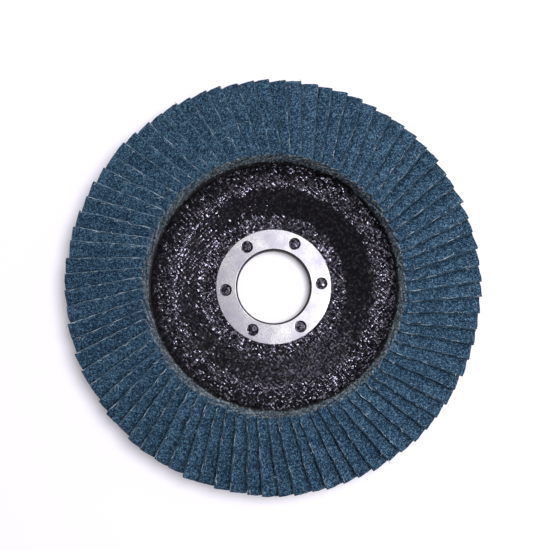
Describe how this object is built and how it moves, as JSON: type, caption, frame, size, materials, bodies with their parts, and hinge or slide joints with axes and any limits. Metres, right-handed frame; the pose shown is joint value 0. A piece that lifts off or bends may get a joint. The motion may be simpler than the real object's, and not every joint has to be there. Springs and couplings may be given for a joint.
{
  "type": "flap disc",
  "caption": "Round flap disc for an angle grinder: overlapping blue abrasive cloth flaps on a black dished backing plate with a steel arbor ring.",
  "frame": {"origin": "centre of the bore in the plane of the hub's back face, on which the disc rests", "axes": "+Z along the bore axis towards the abrasive side; +X and +Y are the right and upper directions of a view onto the abrasive side"},
  "size_m": [0.125, 0.125, 0.015],
  "materials": {
    "abrasive_cloth": "coarse blue abrasive grain on woven cloth, matte",
    "black_laminate": "black resin over woven glass mesh, glossy and uneven",
    "adhesive": "hardened dark resin, dull",
    "ring_steel": "satin pressed steel, lightly smudged"
  },
  "bodies": {
    "root": {"arbor_ring": "ring_steel", "backing_plate": "black_laminate", "adhesive_bed": "adhesive", "flap_pair_01": "abrasive_cloth", "flap_pair_02": "abrasive_cloth", "flap_pair_03": "abrasive_cloth", "flap_pair_04": "abrasive_cloth", "flap_pair_05": "abrasive_cloth", "flap_pair_06": "abrasive_cloth", "flap_pair_07": "abrasive_cloth", "flap_pair_08": "abrasive_cloth", "flap_pair_09": "abrasive_cloth", "flap_pair_10": "abrasive_cloth", "flap_pair_11": "abrasive_cloth", "flap_pair_12": "abrasive_cloth", "flap_pair_13": "abrasive_cloth", "flap_pair_14": "abrasive_cloth", "flap_pair_15": "abrasive_cloth", "flap_pair_16": "abrasive_cloth", "flap_pair_17": "abrasive_cloth", "flap_pair_18": "abrasive_cloth", "flap_pair_19": "abrasive_cloth", "flap_pair_20": "abrasive_cloth", "flap_pair_21": "abrasive_cloth", "flap_pair_22": "abrasive_cloth", "flap_pair_23": "abrasive_cloth", "flap_pair_24": "abrasive_cloth", "flap_pair_25": "abrasive_cloth", "flap_pair_26": "abrasive_cloth", "flap_pair_27": "abrasive_cloth", "flap_pair_28": "abrasive_cloth", "flap_pair_29": "abrasive_cloth", "flap_pair_30": "abrasive_cloth", "flap_pair_31": "abrasive_cloth", "flap_pair_32": "abrasive_cloth", "flap_pair_33": "abrasive_cloth", "flap_pair_34": "abrasive_cloth", "flap_pair_35": "abrasive_cloth", "flap_pair_36": "abrasive_cloth", "flap_pair_37": "abrasive_cloth", "flap_pair_38": "abrasive_cloth", "flap_pair_39": "abrasive_cloth", "flap_pair_40": "abrasive_cloth"}
  },
  "joints": []
}
